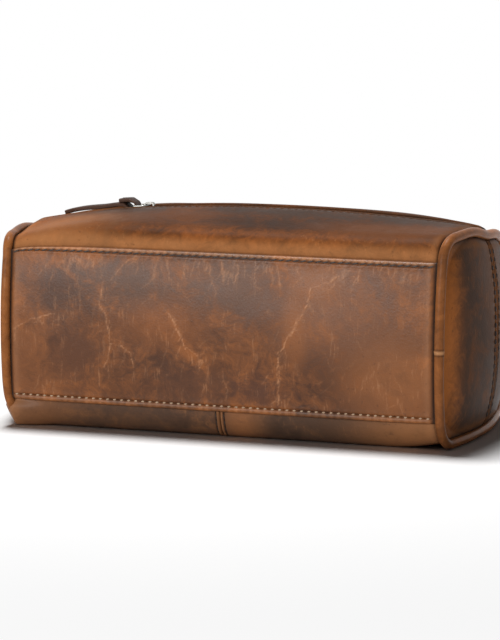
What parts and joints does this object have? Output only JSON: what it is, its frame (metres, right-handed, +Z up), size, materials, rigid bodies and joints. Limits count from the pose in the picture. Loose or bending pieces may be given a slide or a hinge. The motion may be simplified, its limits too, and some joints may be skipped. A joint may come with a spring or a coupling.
{
  "type": "shaving kit bag",
  "caption": "Box-shaped leather shaving kit bag with piped ends, stitched panels and a zip along its ridge that folds open as two lips; leather pull on the slider.",
  "frame": {"origin": "middle of the bag's outline, on the surface it stands on", "axes": "+X along the bag, towards the end without the zip pull; -Y is the front panel; +Z up, the zip is on top"},
  "size_m": [0.2556, 0.1276, 0.1127],
  "materials": {
    "leather": "waxed pull-up, worn",
    "dark_leather": "waxed, dark",
    "thread": "twisted polyester",
    "zip_tape": "woven tape",
    "nickel": "nickel plated",
    "lining": "woven cotton",
    "board": "pressed fibre board",
    "cord": "cotton cord"
  },
  "bodies": {
    "bag": {"front_panel": "leather", "back_panel": "leather", "base_left": "leather", "base_right": "leather", "piping_left": "leather", "piping_right": "leather", "top_strip_front": "leather", "top_strip_back": "leather", "zip_end_tab_left": "leather", "zip_end_tab_right": "leather", "end_left_front_half": "leather", "end_left_back_half": "leather", "end_right_front_half": "leather", "end_right_back_half": "leather", "front_lower_thread": "thread", "front_upper_thread": "thread", "back_lower_thread": "thread", "back_upper_thread": "thread", "end_left_front_thread": "thread", "end_left_back_thread": "thread", "end_right_front_thread": "thread", "end_right_back_thread": "thread", "front_left_zip_tape": "zip_tape", "front_right_zip_tape": "zip_tape", "back_left_zip_tape": "zip_tape", "back_right_zip_tape": "zip_tape", "front_left_zip_teeth": "nickel", "front_right_zip_teeth": "nickel", "back_left_zip_teeth": "nickel", "back_right_zip_teeth": "nickel", "top_stop_front": "nickel", "top_stop_back": "nickel", "bottom_stop": "nickel", "lining_front": "lining", "lining_back": "lining", "lining_base": "lining", "lining_left": "lining", "lining_right": "lining", "base_board": "board", "piping_cord_left": "cord", "piping_cord_right": "cord"},
    "front_lip": {"front_lip": "leather", "front_lip_lining": "lining", "front_lip_thread": "thread", "front_zip_tape": "zip_tape", "front_zip_teeth": "nickel"},
    "back_lip": {"back_lip": "leather", "back_lip_lining": "lining", "back_lip_thread": "thread", "back_zip_tape": "zip_tape", "back_zip_teeth": "nickel"},
    "slider": {"zip_slider": "nickel", "slider_bridge": "nickel"},
    "ring": {"pull_ring": "nickel"},
    "pull": {"pull_tab": "dark_leather"}
  },
  "joints": [
    {"name": "front_lip_open", "type": "hinge", "parent": "bag", "child": "front_lip", "pos_m": [0.016, -0.044, 0.1056], "axis": [1, 0, 0], "range_deg": [0, 60]},
    {"name": "back_lip_open", "type": "hinge", "parent": "bag", "child": "back_lip", "pos_m": [0.016, 0.044, 0.1056], "axis": [-1, 0, 0], "range_deg": [0, 60]},
    {"name": "slider_travel", "type": "hinge", "parent": "bag", "child": "slider", "pos_m": [0.012, 0, -0.8486], "axis": [0, 1, 0], "range_deg": [0, 8.84]},
    {"name": "ring_swing", "type": "hinge", "parent": "slider", "child": "ring", "pos_m": [-0.05921, 0, 0.10896], "axis": [0, 1, 0], "range_deg": [0, 120]},
    {"name": "pull_swing", "type": "hinge", "parent": "ring", "child": "pull", "pos_m": [-0.06569, 0, 0.10848], "axis": [0, 1, 0], "range_deg": [0, 50]}
  ]
}
